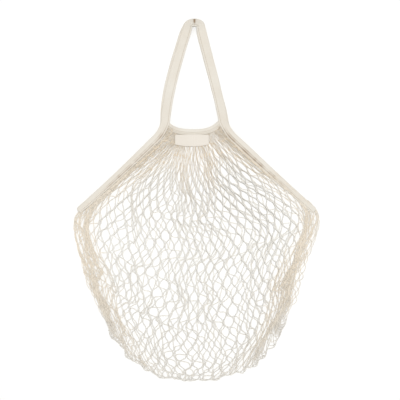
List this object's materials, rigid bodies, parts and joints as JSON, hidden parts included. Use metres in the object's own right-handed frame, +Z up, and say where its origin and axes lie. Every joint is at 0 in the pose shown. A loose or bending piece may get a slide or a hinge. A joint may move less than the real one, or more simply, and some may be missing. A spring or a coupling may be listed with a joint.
{
  "type": "string shopping bag",
  "caption": "Cotton string shopping bag lying on its back: open net pouch gathered to a narrow neck, mouth hemmed by flat tapes that run on as its handles, plain label.",
  "frame": {"origin": "on the floor, under the middle of the whole bag as it lies on its back", "axes": "+Y from the bottom of the net towards the handles, +X across the bag to the right as seen from above, +Z up, out of the labelled side"},
  "size_m": [0.4155, 0.615, 0.0342],
  "materials": {
    "cotton_net": "knitted undyed cotton string, matt",
    "cotton_tape": "woven undyed cotton tape, matt",
    "label_cloth": "plain woven cloth, matt"
  },
  "bodies": {
    "root": {"net_pouch": "cotton_net", "front_tape": "cotton_tape", "rear_tape": "cotton_tape", "front_neck_band": "cotton_tape", "rear_neck_band": "cotton_tape", "label": "label_cloth"}
  },
  "joints": []
}
